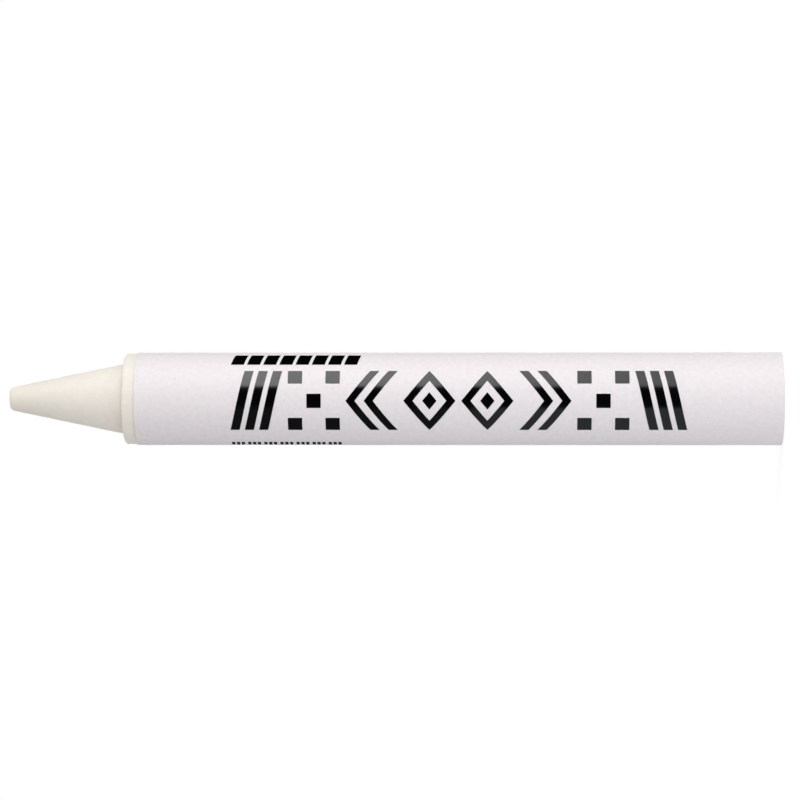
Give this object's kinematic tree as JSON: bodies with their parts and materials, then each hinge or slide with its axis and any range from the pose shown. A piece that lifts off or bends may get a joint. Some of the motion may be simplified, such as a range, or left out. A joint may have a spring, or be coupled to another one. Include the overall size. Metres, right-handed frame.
{
  "type": "chalk stick",
  "caption": "Round stick of marking chalk with a shoulder and a tapered, blunt point, its body wound in a printed paper wrapper.",
  "frame": {"origin": "centre of the butt's flat end, on the stick's axis, where the stick stands", "axes": "+Z along the stick from the butt to the tip; -Y through the front, which carries the print; +Y through the seam of the wrapper; +X towards the upper fine row of the print"},
  "size_m": [0.0144, 0.0145, 0.12],
  "materials": {
    "chalk": "dense moulded chalk, fine grained, dull satin",
    "paper": "smooth coated paper, satin",
    "ink": "glossy black printing ink"
  },
  "bodies": {
    "root": {"chalk_stick": "chalk", "paper_wrapper": "paper", "print_fields": "ink"}
  },
  "joints": []
}
